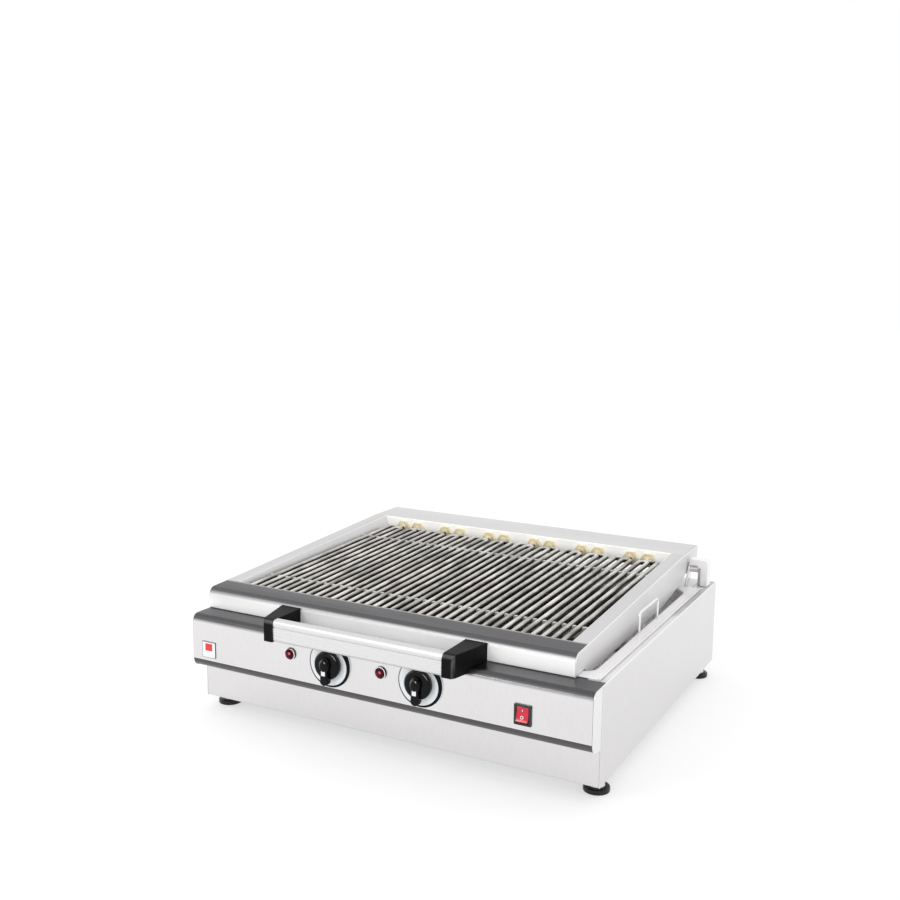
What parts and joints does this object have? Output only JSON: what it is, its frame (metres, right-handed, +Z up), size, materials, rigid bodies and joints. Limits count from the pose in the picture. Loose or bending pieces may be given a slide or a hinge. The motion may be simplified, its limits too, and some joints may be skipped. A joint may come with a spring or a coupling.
{
  "type": "electric vapour grill",
  "caption": "Countertop electric grill: a steel box with a water tray, dials and a switch, and a tilting head of rod heating elements with a front handle.",
  "frame": {"origin": "centre of the footprint, on the surface the feet stand on", "axes": "+Z up, -Y towards the user and the controls, +X to the user's right"},
  "size_m": [0.7034, 0.6851, 0.2303],
  "materials": {
    "brushed_stainless": "fine brushed grain",
    "polished_steel": "polished",
    "galvanised_steel": "dull zinc coating",
    "element_sheath": "heat-toned, satin",
    "satin_aluminium": "satin with a bright edge",
    "black_plastic": "fine texture",
    "gloss_black": "gloss",
    "red_lens": "clear gloss",
    "red_plastic": "gloss",
    "ceramic_block": "unglazed",
    "plain_badge": "satin white"
  },
  "bodies": {
    "base": {"badge": "plain_badge", "bottom_panel": "galvanised_steel", "cable_gland": "black_plastic", "control_panel": "brushed_stainless", "dial_plate_left": "polished_steel", "dial_plate_right": "polished_steel", "heat_shield": "galvanised_steel", "hinge_bracket_left": "brushed_stainless", "hinge_bracket_right": "brushed_stainless", "hinge_elbow": "brushed_stainless", "hinge_pin_left": "polished_steel", "hinge_pin_right": "polished_steel", "lamp_bezel_left": "polished_steel", "lamp_bezel_right": "polished_steel", "lamp_lens_left": "red_lens", "lamp_lens_right": "red_lens", "lower_front_panel": "brushed_stainless", "panel_end_cap_left": "brushed_stainless", "panel_end_cap_right": "brushed_stainless", "rear_panel": "brushed_stainless", "regulator_left": "black_plastic", "regulator_right": "black_plastic", "side_panel_left": "brushed_stainless", "side_panel_right": "brushed_stainless", "switch_housing": "black_plastic", "terminal_block": "ceramic_block", "tray_handle": "polished_steel", "water_tray": "brushed_stainless"},
    "head": {"element_1": "element_sheath", "element_2": "element_sheath", "element_3": "element_sheath", "element_4": "element_sheath", "element_5": "element_sheath", "element_6": "element_sheath", "handle_bar": "satin_aluminium", "handle_bracket_left": "black_plastic", "handle_bracket_right": "black_plastic", "hinge_ear_left": "galvanised_steel", "hinge_ear_right": "galvanised_steel", "nose": "brushed_stainless", "rail_left": "brushed_stainless", "rail_right": "brushed_stainless", "rear_box": "brushed_stainless", "rear_box_cover": "galvanised_steel", "rod_support_front": "brushed_stainless", "rod_support_rear": "brushed_stainless"},
    "rocker_body": {"rocker": "red_plastic"},
    "knob_left_body": {"knob_left": "gloss_black", "spindle_left": "polished_steel"},
    "knob_right_body": {"knob_right": "gloss_black", "spindle_right": "polished_steel"},
    "foot_front_left_body": {"foot_front_left": "black_plastic"},
    "foot_front_right_body": {"foot_front_right": "black_plastic"},
    "foot_rear_left_body": {"foot_rear_left": "black_plastic"},
    "foot_rear_right_body": {"foot_rear_right": "black_plastic"}
  },
  "joints": [
    {"name": "head_tilt", "type": "hinge", "parent": "base", "child": "head", "pos_m": [0, 0.2865, 0.2], "axis": [-1, 0, 0], "range_deg": [0, 40]},
    {"name": "knob_left_turn", "type": "hinge", "parent": "base", "child": "knob_left_body", "pos_m": [-0.078, -0.3168, 0.1364], "axis": [0, 1, 0], "range_deg": [0, 300]},
    {"name": "knob_right_turn", "type": "hinge", "parent": "base", "child": "knob_right_body", "pos_m": [0.081, -0.3168, 0.1364], "axis": [0, 1, 0], "range_deg": [0, 300]},
    {"name": "mains_rocker", "type": "hinge", "parent": "base", "child": "rocker_body", "pos_m": [0.2455, -0.306, 0.1211], "axis": [1, 0, 0], "range_deg": [0, 20]},
    {"name": "foot_front_left_screw", "type": "hinge", "parent": "base", "child": "foot_front_left_body", "pos_m": [-0.332, -0.2389, 0.004], "axis": [0, 0, 1], "continuous": true},
    {"name": "foot_front_right_screw", "type": "hinge", "parent": "base", "child": "foot_front_right_body", "pos_m": [0.332, -0.2389, 0.004], "axis": [0, 0, 1], "continuous": true},
    {"name": "foot_rear_left_screw", "type": "hinge", "parent": "base", "child": "foot_rear_left_body", "pos_m": [-0.332, 0.2805, 0.004], "axis": [0, 0, 1], "continuous": true},
    {"name": "foot_rear_right_screw", "type": "hinge", "parent": "base", "child": "foot_rear_right_body", "pos_m": [0.332, 0.2805, 0.004], "axis": [0, 0, 1], "continuous": true}
  ]
}
